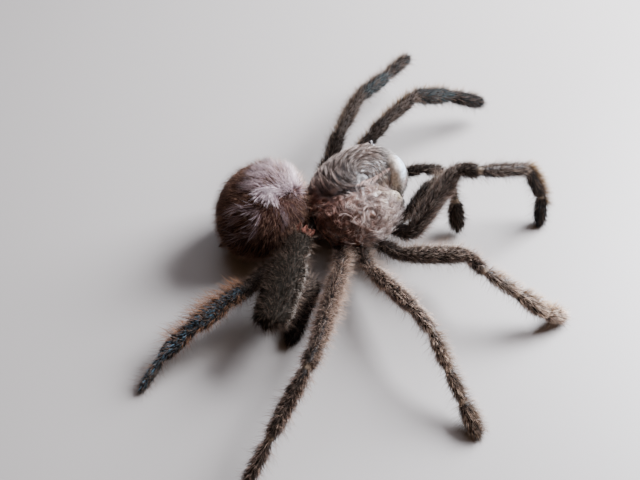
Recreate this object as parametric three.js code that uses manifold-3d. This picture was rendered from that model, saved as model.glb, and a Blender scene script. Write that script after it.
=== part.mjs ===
// Dead tarantula kept as a dry specimen, lying as it dried on a flat surface.
// Millimetres, +Z up. The origin is on the flat patch of belly under the abdomen,
// +X points to the head and +Y to the spider's left side.

import * as THREE from 'three';
import { mergeVertices } from 'three/addons/utils/BufferGeometryUtils.js';
import Module from 'manifold-3d';

const wasm = await Module();
wasm.setup();

// Gap left between pieces that touch
const GAP = 0.3;
// Vertices closer than this are one vertex
const WELD = 1e-4;
// Sides of a limb, of a small or hidden piece, and sides and rings of a rounded body lump
const LIMB_SIDES = 8;
const SMALL_SIDES = 6;
const LUMP_SIDES = 18;
const LUMP_RINGS = 10;

// Rounded lumps: centre, half sizes and turn about the upright axis in degrees
const ABDOMEN = { centre: [1.5, 0.3, 8.8], radii: [10.7, 9.0, 9.5], turn: 48 };
const CARAPACE_LEFT = { centre: [21.6, 4.0, 8.7], radii: [12.4, 7.4, 6.8], turn: 35 };
const CARAPACE_RIGHT = { centre: [20.8, -4.7, 8.0], radii: [9.1, 7.4, 6.7], turn: 13 };
const CARAPACE_REAR = { centre: [16.4, -1.2, 6.6], radii: [5.0, 6.8, 5.4], turn: 0 };
const STERNUM = { centre: [20.6, 0.2, 3.0], radii: [8.4, 5.4, 3.6], turn: 0 };
const EYE_MOUND = { centre: [27.5, 11.0, 12.2], radii: [1.5, 1.4, 1.3], turn: 0 };
const CHELICERA_LEFT = { centre: [31.2, 5.2, 8.0], radii: [3.2, 4.6, 5.8], turn: 9 };
const CHELICERA_RIGHT = { centre: [28.6, -2.0, 6.4], radii: [3.4, 2.6, 4.8], turn: -4 };

// Coxae, the hip joints fused round the sternum: from its edge to the root of each limb
const COXA_RADIUS = 2.1;
const COXAE = [
  { from: [26.5, -1.6, 3.2], to: [29.2, -2.8, 4.2] },
  { from: [25.0, -2.6, 3.0], to: [27.4, -7.2, 5.0] },
  { from: [22.4, -3.6, 3.0], to: [23.6, -10.2, 4.8] },
  { from: [19.6, -3.8, 3.0], to: [19.6, -11.0, 4.8] },
  { from: [17.0, -3.2, 3.0], to: [15.6, -9.6, 4.8] },
  { from: [16.0, -1.4, 3.0], to: [11.4, -4.6, 3.4] },
  { from: [26.5, 1.8, 3.2], to: [30.0, 4.8, 4.2] },
  { from: [23.8, 3.2, 3.0], to: [22.8, 9.2, 5.0] },
  { from: [19.6, 3.6, 3.0], to: [16.8, 9.4, 4.8] },
  { from: [16.4, 2.4, 3.0], to: [12.4, 6.2, 3.6] },
];

// The pedicel joins abdomen and cephalothorax: its middle, half length and half thickness
const PEDICEL = { middle: [11.0, -0.8, 4.2], halfLength: 2.6, radius: 2.0 };

// Spinnerets: root on the rear of the abdomen, length, bearing, rise and half thickness
const SPINNERETS = {
  spinneret_left: { root: [-4.9, 1.6, 3.2], length: 2.9, bearing: 168, rise: -12, radius: 0.75 },
  spinneret_right: { root: [-5.2, -1.6, 3.2], length: 2.8, bearing: -168, rise: -12, radius: 0.75 },
};

// Fangs fold back under the chelicerae: root at the front, then a curve down and back
const FANG_RADIUS = 0.75;
const FANG_DROP = 2.6;
const FANG_REACH = 2.8;
const FANGS = {
  fang_left: [33.0, 3.8, 3.3],
  fang_right: [30.4, -2.2, 2.7],
};

// Limbs: the root in the body, then each joint as
// [length, bearing from +X, rise above level, half thickness, width over thickness]
const LIMBS = {
  pedipalp_left: {
    root: [30.5, 5.0, 4.5],
    joints: [[4.5, 28, 33, 1.2, 1], [5.5, -31, 33, 1.25, 1], [4.5, -4, -19, 1.3, 1]],
  },
  pedipalp_right: {
    root: [30.0, -2.5, 4.5],
    joints: [
      [2.5, -52, 0, 1.3, 1], [9.5, 25, 46, 1.35, 1], [3.5, -4, 11, 1.1, 1],
      [5.5, -44, -63, 1.1, 1], [6.0, -90, -56, 1.7, 1],
    ],
  },
  leg_right_1: {
    root: [27.0, -6.5, 5.5],
    joints: [
      [6, -48, 10, 1.8, 1], [16.5, 34, 35, 1.9, 1], [5, -32, 11, 1.55, 1],
      [12, 7, -14, 1.45, 1], [8.5, -18, -62, 1.35, 1], [6.5, -93, -65, 1.35, 1],
    ],
  },
  leg_right_2: {
    root: [23.0, -9.5, 5.0],
    joints: [
      [7.5, -53, 8, 1.6, 1], [14, -28, 17, 1.85, 1], [6.5, -78, 14, 1.35, 1],
      [8, -31, -30, 1.2, 1], [7.5, -29, -33, 1.45, 1], [5, 7, -31.5, 1.55, 1],
    ],
  },
  leg_right_3: {
    root: [19.5, -10.5, 5.0],
    joints: [
      [8, -84, 11, 1.5, 1], [16, -72, 15, 1.6, 1], [6, -75, 3, 1.35, 1],
      [7.5, -77, -29, 1.2, 1], [6.5, -73, -33, 1.15, 1], [6, -75, -28, 1.45, 1],
    ],
  },
  leg_right_4: {
    root: [16.5, -9.0, 5.0],
    joints: [
      [8, -104, 10, 1.5, 1], [24, -114, 12, 1.7, 1], [5.5, -120, 7, 1.5, 1],
      [14, -130, -16, 1.4, 1], [10, -133, -28, 1.2, 1], [7, -130, -23, 1.1, 1],
    ],
  },
  leg_left_1: {
    root: [22.0, 6.0, 5.0],
    joints: [
      [4, 96, 15, 1.5, 1], [10.5, 32, 36, 1.75, 1], [4.5, 40, 17, 1.6, 1],
      [12.5, 41, -4, 1.5, 1], [10.5, 16, -20, 1.8, 1], [9.5, 2, -24, 1.6, 1],
    ],
  },
  leg_left_2: {
    root: [15.0, 4.0, 4.0],
    joints: [
      [4, 83, 11, 1.5, 1], [7, 54, 36, 1.75, 1], [6.5, 54, 38, 1.65, 1],
      [14, 59, -4, 1.5, 1], [11.5, 42, -7, 1.6, 1], [11.5, 46, -8, 1.4, 1],
    ],
  },
  leg_left_3: {
    root: [8.5, -6.5, 3.5],
    joints: [
      [4.0, -132, 7, 1.4, 1], [13.5, -139, 13, 1.7, 1], [6.5, -149, 4, 1.5, 1.2],
      [8.0, -153, -11, 1.4, 1.9], [8.0, -149, -19, 1.2, 1.9], [7.0, -135, -21, 1.05, 1.2],
    ],
  },
  leg_left_4: {
    root: [8.0, -9.0, 9.0],
    joints: [
      [6.5, -118, 5, 1.9, 1.5], [18, -115, 3, 2.2, 1.85], [10, 60, -25, 1.4, 1],
      [8, 34, -6, 1.9, 1], [6.5, -122, -22, 1.7, 1], [6, -126, -18, 1.6, 1],
    ],
  },
};

// Outline of one limb joint: share of its length, and share of its half thickness
const JOINT_OUTLINE = [[0, 0.76], [0.2, 0.97], [0.7, 0.99], [1, 0.76]];
// How far a joint's round ends reach past its length, in half thicknesses
const ROUND_END = 0.5;

function direction(bearing, rise) {
  const b = THREE.MathUtils.degToRad(bearing);
  const r = THREE.MathUtils.degToRad(rise);
  return new THREE.Vector3(Math.cos(r) * Math.cos(b), Math.cos(r) * Math.sin(b), Math.sin(r));
}

// A solid from a closed geometry, without the flat triangles at its poles
function solid(geometry) {
  geometry.deleteAttribute('normal');
  geometry.deleteAttribute('uv');
  const merged = mergeVertices(geometry, WELD);
  const index = merged.index.array;
  const triangles = [];
  for (let i = 0; i < index.length; i += 3) {
    const [a, b, c] = [index[i], index[i + 1], index[i + 2]];
    if (a !== b && b !== c && c !== a) triangles.push(a, b, c);
  }
  return new wasm.Manifold(new wasm.Mesh({
    numProp: 3,
    vertProperties: new Float32Array(merged.attributes.position.array),
    triVerts: new Uint32Array(triangles),
  }));
}

function ellipsoid(lump, extra) {
  const geometry = new THREE.SphereGeometry(1, LUMP_SIDES, LUMP_RINGS);
  geometry.rotateX(Math.PI / 2);
  const [x, y, z] = lump.radii;
  geometry.scale(x + extra, y + extra, z + extra);
  geometry.rotateZ(THREE.MathUtils.degToRad(lump.turn));
  geometry.translate(...lump.centre);
  return solid(geometry);
}

// A lathe outline carried along a direction, and widened sideways
function spindle(start, along, outline, width, sides) {
  const geometry = new THREE.LatheGeometry(outline, sides);
  const side = new THREE.Vector3(0, 0, 1).cross(along).normalize();
  const lift = side.clone().cross(along);
  side.multiplyScalar(width);
  geometry.applyMatrix4(new THREE.Matrix4().makeBasis(side, along, lift).setPosition(start));
  return solid(geometry);
}

function jointOutline(length, radius) {
  const end = ROUND_END * radius;
  const points = [new THREE.Vector2(0, -end)];
  for (const [share, thickness] of JOINT_OUTLINE) {
    points.push(new THREE.Vector2(radius * thickness, share * length));
  }
  points.push(new THREE.Vector2(0, length + end));
  return points;
}

// The joints of a limb, one after another, grown together
function limb(spec, extra) {
  let start = new THREE.Vector3(...spec.root);
  let grown = null;
  for (const [length, bearing, rise, radius, width] of spec.joints) {
    const along = direction(bearing, rise);
    const outline = jointOutline(length, radius + extra);
    const joint = spindle(start, along, outline, width, LIMB_SIDES);
    grown = grown ? grown.add(joint) : joint;
    start = start.clone().addScaledVector(along, length);
  }
  return grown;
}

function cephalothorax(extra) {
  let grown = ellipsoid(CARAPACE_LEFT, extra);
  for (const lump of [CARAPACE_RIGHT, CARAPACE_REAR, STERNUM, EYE_MOUND]) {
    grown = grown.add(ellipsoid(lump, extra));
  }
  for (const { from, to } of COXAE) {
    const start = new THREE.Vector3(...from);
    const along = new THREE.Vector3(...to).sub(start);
    const outline = jointOutline(along.length(), COXA_RADIUS + extra);
    grown = grown.add(spindle(start, along.normalize(), outline, 1, SMALL_SIDES));
  }
  return grown;
}

function pedicel() {
  const { middle, halfLength, radius } = PEDICEL;
  const along = new THREE.Vector3(1, 0, 0);
  const start = new THREE.Vector3(...middle).addScaledVector(along, -halfLength);
  const outline = [[0, 0], [radius, 0], [radius * 0.8, halfLength], [radius, 2 * halfLength],
    [0, 2 * halfLength]].map(([x, y]) => new THREE.Vector2(x, y));
  return spindle(start, along, outline, 1, LIMB_SIDES);
}

function spinneret(spec, extra) {
  const { length, radius } = spec;
  const outline = [[0, 0], [radius, 0], [radius, length * 0.5], [radius * 0.6, length * 0.9], [0, length]];
  const points = outline.map(([x, y]) => new THREE.Vector2(x && x + extra, y));
  const start = new THREE.Vector3(...spec.root);
  return spindle(start, direction(spec.bearing, spec.rise), points, 1, LIMB_SIDES);
}

// A fang is a chain of short tapering cones along a quarter turn, down and back
function fang(root) {
  const steps = 4;
  const point = (i) => {
    const angle = (i / steps) * Math.PI / 2;
    return new THREE.Vector3(
      root[0] - FANG_REACH * (1 - Math.cos(angle)),
      root[1],
      root[2] - FANG_DROP * Math.sin(angle) * 0.75,
    );
  };
  let grown = null;
  for (let i = 0; i < steps; i += 1) {
    const along = point(i + 1).sub(point(i));
    const length = along.length();
    const near = FANG_RADIUS * (1 - 0.75 * (i / steps));
    const far = FANG_RADIUS * (1 - 0.75 * ((i + 1) / steps));
    const outline = [[0, -near * 0.5], [near, 0], [far, length], [0, length + far * 0.5]];
    const points = outline.map(([x, y]) => new THREE.Vector2(x, y));
    const cone = spindle(point(i), along.normalize(), points, 1, SMALL_SIDES);
    grown = grown ? grown.add(cone) : cone;
  }
  return grown;
}

// Everything lies on the plane z = 0, so what would reach below it is flattened
function ground() {
  const depth = 20;
  const geometry = new THREE.BoxGeometry(400, 400, depth);
  geometry.translate(0, 0, -depth / 2);
  return solid(geometry);
}

const CUTICLE = { color: 0x4a3a30, roughness: 0.6, metalness: 0 };
const MATERIALS = {
  leg: CUTICLE,
  abdomen: { color: 0x3a2420, roughness: 0.75, metalness: 0 },
  carapace: { color: 0x8c7c6e, roughness: 0.6, metalness: 0 },
  chelicera: { color: 0xa39a8c, roughness: 0.4, metalness: 0 },
  fang: { color: 0x1c1412, roughness: 0.25, metalness: 0 },
};

function piece(name, body, look) {
  const { vertProperties, triVerts } = body.getMesh();
  const geometry = new THREE.BufferGeometry();
  geometry.setAttribute('position', new THREE.BufferAttribute(vertProperties, 3));
  geometry.setIndex(new THREE.BufferAttribute(triVerts, 1));
  geometry.computeVertexNormals();
  const mesh = new THREE.Mesh(geometry, new THREE.MeshStandardMaterial(MATERIALS[look]));
  mesh.name = name;
  return mesh;
}

// Each piece is cut clear of the ones before it, which is where its gap comes from
const group = new THREE.Group();
const floor = ground();
const swollen = [];

function place(name, make, look) {
  let body = make(0).subtract(floor);
  for (const other of swollen) body = body.subtract(other);
  swollen.push(make(GAP));
  group.add(piece(name, body, look));
}

place('abdomen', (extra) => ellipsoid(ABDOMEN, extra), 'abdomen');
place('cephalothorax', cephalothorax, 'carapace');
place('pedicel', pedicel, 'abdomen');
place('chelicera_left', (extra) => ellipsoid(CHELICERA_LEFT, extra), 'chelicera');
place('chelicera_right', (extra) => ellipsoid(CHELICERA_RIGHT, extra), 'chelicera');
for (const [name, root] of Object.entries(FANGS)) {
  place(name, () => fang(root), 'fang');
}
for (const [name, spec] of Object.entries(SPINNERETS)) {
  place(name, (extra) => spinneret(spec, extra), 'abdomen');
}
for (const [name, spec] of Object.entries(LIMBS)) {
  place(name, (extra) => limb(spec, extra), 'leg');
}

export default group;
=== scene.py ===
"""Looks of a dry tarantula specimen: smooth cuticle skins in place of the frame's solids, and on
them the coat, as many thin closed spikes. All shapes are worked out in millimetres."""

import math

import bpy
import numpy as np
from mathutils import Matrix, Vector


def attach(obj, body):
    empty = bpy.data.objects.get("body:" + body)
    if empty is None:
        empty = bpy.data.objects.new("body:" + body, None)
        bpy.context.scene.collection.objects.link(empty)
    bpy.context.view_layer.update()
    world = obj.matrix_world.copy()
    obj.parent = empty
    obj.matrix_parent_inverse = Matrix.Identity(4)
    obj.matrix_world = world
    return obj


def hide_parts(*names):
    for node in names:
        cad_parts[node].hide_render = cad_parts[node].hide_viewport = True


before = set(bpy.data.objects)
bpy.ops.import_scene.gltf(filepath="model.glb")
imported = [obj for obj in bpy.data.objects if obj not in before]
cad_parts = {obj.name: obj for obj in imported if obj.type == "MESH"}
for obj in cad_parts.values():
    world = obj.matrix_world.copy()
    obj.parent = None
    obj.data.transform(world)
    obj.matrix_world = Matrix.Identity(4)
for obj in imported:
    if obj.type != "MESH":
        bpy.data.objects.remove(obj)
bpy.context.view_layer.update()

MM = 0.001
UP = np.array([0.0, 0.0, 1.0])
rng = np.random.default_rng(11)

# Rounded lumps of the body, as in the frame: centre, half sizes, turn about the upright axis
ABDOMEN = ((1.5, 0.3, 8.8), (10.7, 9.0, 9.5), 48)
CARAPACE_LEFT = ((21.6, 4.0, 8.7), (12.4, 7.4, 6.8), 35)
CARAPACE_RIGHT = ((20.8, -4.7, 8.0), (9.1, 7.4, 6.7), 13)
CARAPACE_REAR = ((16.4, -1.2, 6.6), (5.0, 6.8, 5.4), 0)
STERNUM = ((20.6, 0.2, 3.0), (8.4, 5.4, 3.6), 0)
EYE_MOUND = ((27.5, 11.0, 12.2), (1.5, 1.4, 1.3), 0)
CHELICERA_LEFT = ((31.2, 5.2, 8.0), (3.2, 4.6, 5.8), 9)
CHELICERA_RIGHT = ((28.6, -2.0, 6.4), (3.4, 2.6, 4.8), -4)

# Fused hip joints: from the sternum's edge to the root of each limb
COXA_RADIUS = 2.1
COXAE = (
    ((26.5, -1.6, 3.2), (29.2, -2.8, 4.2)), ((25.0, -2.6, 3.0), (27.4, -7.2, 5.0)),
    ((22.4, -3.6, 3.0), (23.6, -10.2, 4.8)), ((19.6, -3.8, 3.0), (19.6, -11.0, 4.8)),
    ((17.0, -3.2, 3.0), (15.6, -9.6, 4.8)), ((16.0, -1.4, 3.0), (11.4, -4.6, 3.4)),
    ((26.5, 1.8, 3.2), (30.0, 4.8, 4.2)), ((23.8, 3.2, 3.0), (22.8, 9.2, 5.0)),
    ((19.6, 3.6, 3.0), (16.8, 9.4, 4.8)), ((16.4, 2.4, 3.0), (12.4, 6.2, 3.6)),
)

# Limbs, as in the frame: root, then joints of (length, bearing, rise, half thickness, width ratio).
# A bearing turns from +X towards +Y, a rise is above level, both in degrees.
LIMBS = {
    "pedipalp_left": ((30.5, 5.0, 4.5), (
        (4.5, 28, 33, 1.2, 1), (5.5, -31, 33, 1.25, 1), (4.5, -4, -19, 1.3, 1))),
    "pedipalp_right": ((30.0, -2.5, 4.5), (
        (2.5, -52, 0, 1.3, 1), (9.5, 25, 46, 1.35, 1), (3.5, -4, 11, 1.1, 1),
        (5.5, -44, -63, 1.1, 1), (6.0, -90, -56, 1.7, 1))),
    "leg_right_1": ((27.0, -6.5, 5.5), (
        (6, -48, 10, 1.8, 1), (16.5, 34, 35, 1.9, 1), (5, -32, 11, 1.55, 1),
        (12, 7, -14, 1.45, 1), (8.5, -18, -62, 1.35, 1), (6.5, -93, -65, 1.35, 1))),
    "leg_right_2": ((23.0, -9.5, 5.0), (
        (7.5, -53, 8, 1.6, 1), (14, -28, 17, 1.85, 1), (6.5, -78, 14, 1.35, 1),
        (8, -31, -30, 1.2, 1), (7.5, -29, -33, 1.45, 1), (5, 7, -31.5, 1.55, 1))),
    "leg_right_3": ((19.5, -10.5, 5.0), (
        (8, -84, 11, 1.5, 1), (16, -72, 15, 1.6, 1), (6, -75, 3, 1.35, 1),
        (7.5, -77, -29, 1.2, 1), (6.5, -73, -33, 1.15, 1), (6, -75, -28, 1.45, 1))),
    "leg_right_4": ((16.5, -9.0, 5.0), (
        (8, -104, 10, 1.5, 1), (24, -114, 12, 1.7, 1), (5.5, -120, 7, 1.5, 1),
        (14, -130, -16, 1.4, 1), (10, -133, -28, 1.2, 1), (7, -130, -23, 1.1, 1))),
    "leg_left_1": ((22.0, 6.0, 5.0), (
        (4, 96, 15, 1.5, 1), (10.5, 32, 36, 1.75, 1), (4.5, 40, 17, 1.6, 1),
        (12.5, 41, -4, 1.5, 1), (10.5, 16, -20, 1.8, 1), (9.5, 2, -24, 1.6, 1))),
    "leg_left_2": ((15.0, 4.0, 4.0), (
        (4, 83, 11, 1.5, 1), (7, 54, 36, 1.75, 1), (6.5, 54, 38, 1.65, 1),
        (14, 59, -4, 1.5, 1), (11.5, 42, -7, 1.6, 1), (11.5, 46, -8, 1.4, 1))),
    "leg_left_3": ((8.5, -6.5, 3.5), (
        (4.0, -132, 7, 1.4, 1), (13.5, -139, 13, 1.7, 1), (6.5, -149, 4, 1.5, 1.2),
        (8.0, -153, -11, 1.4, 1.9), (8.0, -149, -19, 1.2, 1.9), (7.0, -135, -21, 1.05, 1.2))),
    "leg_left_4": ((8.0, -9.0, 9.0), (
        (6.5, -118, 5, 1.9, 1.5), (18, -115, 3, 2.2, 1.85), (10, 60, -25, 1.4, 1),
        (8, 34, -6, 1.9, 1), (6.5, -122, -22, 1.7, 1), (6, -126, -18, 1.6, 1))),
}


# Vectors and meshes

def unit(v):
    """Each vector divided by its own length."""
    return v / np.maximum(np.linalg.norm(v, axis=-1, keepdims=True), 1e-9)


def smoothstep(low, high, x):
    """0 at low, 1 at high, and three t squared less two t cubed between. Low may be the larger."""
    t = np.clip((x - low) / (high - low), 0, 1)
    return t * t * (3 - 2 * t)


def heading(bearing, rise):
    """The unit vector at a bearing and a rise in degrees."""
    b, r = math.radians(bearing), math.radians(rise)
    return np.array([math.cos(r) * math.cos(b), math.cos(r) * math.sin(b), math.sin(r)])


def facing_out(points, faces):
    """Turns the triangles over if the closed surface's signed volume, the sum over triangles of a
    corner times the cross product of the other two, is negative."""
    a, b, c = (points[faces[:, k]] for k in range(3))
    return faces if np.einsum("ij,ij->", a, np.cross(b, c)) > 0 else faces[:, ::-1]


def closed_rings(rings):
    """Skins rings of equal count, one after another, and closes each end on its ring's mean point.
    Returns points, triangles and, for each point, the number of its ring."""
    n, m, _ = rings.shape
    points = np.vstack([rings.reshape(-1, 3), rings[0].mean(0), rings[-1].mean(0)])
    i, j = np.meshgrid(np.arange(n - 1), np.arange(m), indexing="ij")
    near, next_near = i * m + j, i * m + (j + 1) % m
    quads = np.stack([near, next_near, next_near + m, near, next_near + m, near + m], -1)
    around, after = np.arange(m), (np.arange(m) + 1) % m
    first = np.stack([np.full(m, n * m), after, around], -1)
    last = np.stack([np.full(m, n * m + 1), (n - 1) * m + around, (n - 1) * m + after], -1)
    faces = np.vstack([quads.reshape(-1, 3), first, last])
    ring = np.append(np.repeat(np.arange(n), m), [0, n - 1])
    return points, facing_out(points, faces), ring


def mesh_piece(name, points, faces, material, tint, replaces=(), slot=None):
    """One smooth triangle mesh in metres, riding on the body, with its place in its points and
    its linear colour in the point attribute "tint"."""
    mesh = bpy.data.meshes.new(name)
    mesh.vertices.add(len(points))
    mesh.vertices.foreach_set("co", (points * MM).astype(np.float32).ravel())
    mesh.loops.add(faces.size)
    mesh.loops.foreach_set("vertex_index", faces.astype(np.int32).ravel())
    mesh.polygons.add(len(faces))
    mesh.polygons.foreach_set("loop_start", np.arange(0, faces.size, 3, dtype=np.int32))
    mesh.polygons.foreach_set("use_smooth", np.ones(len(faces), dtype=bool))
    mesh.update(calc_edges=True)
    mesh.validate()
    attribute = mesh.attributes.new("tint", "FLOAT_COLOR", "POINT")
    rgba = np.ones((len(points), 4), dtype=np.float32)
    rgba[:, :3] = tint
    attribute.data.foreach_set("color", rgba.ravel())
    piece = bpy.data.objects.new(name, mesh)
    bpy.context.scene.collection.objects.link(piece)
    mesh.materials.append(material)
    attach(piece, "root")
    if replaces:
        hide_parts(*replaces)
    return piece


# Colours and materials

def linear(hex_colour):
    """sRGB hex to the linear colour that the shader works in."""
    s = np.array([int(hex_colour[k:k + 2], 16) for k in (1, 3, 5)]) / 255
    return np.where(s <= 0.04045, s / 12.92, ((s + 0.055) / 1.055) ** 2.4)


# Hair colours at the root, in the middle and at the tip of a strand
DARK = ("#16100d", "#352922", "#66574a")
BROWN = ("#2e2420", "#7a685d", "#c3b0a3")
TAN = ("#48362c", "#a08873", "#dcc5b0")
GOLD = ("#4f3822", "#a8804e", "#dfbf90")
ROSE = ("#5d4438", "#b3958a", "#e6d0c4")
PEACH = ("#7d6152", "#cfae98", "#f3dccb")
RUST = ("#6b4533", "#b07a58", "#dbae8f")
TEAL = ("#17262c", "#48707c", "#86aab2")
STEEL = ("#22323b", "#5b7e94", "#a2bfcf")
BLACK = ("#08090b", "#14171a", "#2b3438")
OLIVE = ("#1f1b14", "#4c4338", "#867a6a")
PALE = ("#8a8074", "#c9c0b5", "#efe9e1")
ABDOMEN_BLACK = ("#100a09", "#271815", "#43302a")
ABDOMEN_BROWN = ("#231511", "#5f443a", "#9c7c6d")
LILAC = ("#553d42", "#cdb2b9", "#fff6f8")
CARAPACE_TAN = ("#34261f", "#887368", "#cbb9ad")
CARAPACE_SILVER = ("#57514a", "#a6a099", "#e3e2de")
CARAPACE_BROWN = ("#2d1a15", "#6c4a40", "#aa8a7e")
CURL = ("#93685a", "#e3c6b9", "#fff7f3")


def shades(palettes, weights, along, chance):
    """Strand colours: the palettes, each run from root to tip, in the mean that the weights give,
    times 0.55 to 1.45 by chance. Returns one colour for each strand and place along it."""
    def ramp(palette):
        """One palette's colours at the places along a strand, straight from stop to stop."""
        channels = np.array([linear(colour) for colour in palette]).T
        return np.stack([np.interp(along, (0, 0.5, 1), channel) for channel in channels], -1)

    ramps = np.stack([ramp(palette) for palette in palettes])
    weights = np.stack([np.broadcast_to(w, len(chance)) for w in weights], -1)
    weights = weights / weights.sum(-1, keepdims=True)
    return np.einsum("nk,kcj->ncj", weights, ramps) * (0.55 + 0.9 * chance)[:, None, None]


def blend(weight, first, second):
    """Point colours on the straight line from one hex colour at weight 0 to another at 1."""
    weight = np.asarray(weight)[:, None]
    return linear(first) * (1 - weight) + linear(second) * weight


def zone_tint(tint, zone, hex_colour):
    """Point colours turned to a hex colour where the zone is 1, and left where it is 0."""
    zone = zone[:, None]
    return tint * (1 - zone) + zone * linear(hex_colour)


def add(tree, kind, inputs=None, stops=None, **settings):
    """Adds a node: inputs are values or other nodes' sockets, stops are a ramp's places and greys."""
    made = tree.nodes.new(kind)
    for key, value in settings.items():
        setattr(made, key, value)
    if stops:
        for element, (place, grey) in zip(made.color_ramp.elements, stops):
            element.position = place
            element.color = (grey, grey, grey, 1)
    for key, value in (inputs or {}).items():
        if isinstance(value, bpy.types.NodeSocket):
            tree.links.new(value, made.inputs[key])
        else:
            made.inputs[key].default_value = value
    return made


def tinted_material(name, roughness, grain_mm, contrast, bump, finish=None):
    """The piece's own tint, times a mottle of 1 plus or minus the contrast from a noise of the
    grain's size in millimetres, with a bump from the same noise."""
    material = bpy.data.materials.new(name)
    material.use_nodes = True
    tree = material.node_tree
    tree.nodes.clear()
    tint = add(tree, "ShaderNodeAttribute", attribute_name="tint")
    place = add(tree, "ShaderNodeTexCoord")
    noise = add(tree, "ShaderNodeTexNoise", {
        "Vector": place.outputs["Object"], "Scale": 1 / (grain_mm * MM), "Detail": 4.0})
    mottle = add(tree, "ShaderNodeValToRGB", {"Fac": noise.outputs["Fac"]},
                 stops=[(0.3, 1 - contrast), (0.7, 1 + contrast)])
    colour = add(tree, "ShaderNodeMix", {
        "Factor": 1.0, "A": tint.outputs["Color"], "B": mottle.outputs["Color"]},
        data_type="RGBA", blend_type="MULTIPLY")
    relief = add(tree, "ShaderNodeBump", {
        "Height": noise.outputs["Fac"], "Strength": bump, "Distance": 0.15 * MM})
    shader = add(tree, "ShaderNodeBsdfPrincipled", {
        "Base Color": colour.outputs["Result"], "Roughness": roughness, "IOR": 1.55,
        "Normal": relief.outputs["Normal"], **(finish or {})})
    add(tree, "ShaderNodeOutputMaterial", {"Surface": shader.outputs["BSDF"]})
    return material


# Dried chitin, the animal's own shell, with wrinkles of 0.5 to 1.1 mm. On the right limbs it is
# leathery and shows a faint broken gloss between the hairs.
LIMB_CUTICLE = tinted_material(
    "limb_cuticle", roughness=0.4, grain_mm=0.7, contrast=0.35, bump=0.4,
    finish={"Specular IOR Level": 0.2})
# Under velvet, on the abdomen and the left limbs, it is dull and only deepens the colour
VELVET_CUTICLE = tinted_material(
    "velvet_cuticle", roughness=0.8, grain_mm=0.9, contrast=0.3, bump=0.3,
    finish={"Specular IOR Level": 0.1})
# On the carapace it is crumpled and damp, and glints in small spots between the curls
BODY_CUTICLE = tinted_material(
    "body_cuticle", roughness=0.34, grain_mm=1.1, contrast=0.4, bump=0.5)
# Eyes and fangs are chitin grown thick and polished: glassy, with a sharp highlight
HORN = tinted_material("horn", roughness=0.12, grain_mm=0.6, contrast=0.2, bump=0.05)
# Soft skin of the jaws and the waist, stretched as it dried: smooth, with a broad soft shine
MEMBRANE = tinted_material(
    "joint_membrane", roughness=0.42, grain_mm=0.5, contrast=0.35, bump=0.5,
    finish={"Specular IOR Level": 0.35})
# Hair is chitin too. A spike stands for several finer hairs, so its gloss is low: the limbs and
# the abdomen look dusty, and the hair on the carapace, matted with damp, shines a little.
LIMB_HAIR = tinted_material(
    "limb_hair", roughness=0.65, grain_mm=1.6, contrast=0.2, bump=0.0,
    finish={"Specular IOR Level": 0.02})
VELVET_HAIR = tinted_material(
    "velvet_hair", roughness=0.6, grain_mm=2.0, contrast=0.2, bump=0.0,
    finish={"Specular IOR Level": 0.06})
MATTED_HAIR = tinted_material(
    "matted_hair", roughness=0.45, grain_mm=1.2, contrast=0.3, bump=0.0,
    finish={"Specular IOR Level": 0.2})


# Skins. They lie this far inside the frame's solids, so the dense coat's tips reach their faces
SUNK = 0.3
POLE_GAP = 0.02  # angle from a pole to the first ring of a lump, in radians


def lump(spec, rings=40, around=56, sunk=SUNK):
    """An ellipsoid: half sizes times the sines and cosines of the angle v from the bottom pole and
    u around, turned, moved to its centre, and flat where it would pass below z = 0."""
    centre, radii, turn = spec
    radii = np.array(radii) - sunk
    v = np.linspace(POLE_GAP, math.pi - POLE_GAP, rings)[:, None]
    u = np.linspace(0, 2 * math.pi, around, endpoint=False)[None, :]
    x = np.sin(v) * np.cos(u) * radii[0]
    y = np.sin(v) * np.sin(u) * radii[1]
    z = -np.cos(v) * radii[2] * np.ones_like(u)
    a = math.radians(turn)
    shape = np.stack([x * math.cos(a) - y * math.sin(a), x * math.sin(a) + y * math.cos(a), z], -1)
    shape = shape + np.array(centre)
    shape[..., 2] = np.maximum(shape[..., 2], 0)
    return closed_rings(shape)[:2]


def joint_profile(share):
    """Half thickness along a joint of a limb: full in the middle, and drawn in at both ends."""
    return np.interp(share, [0, 0.06, 0.2, 0.5, 0.8, 0.94, 1],
                     [0.7, 0.84, 0.97, 1.0, 0.98, 0.86, 0.7])


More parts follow.
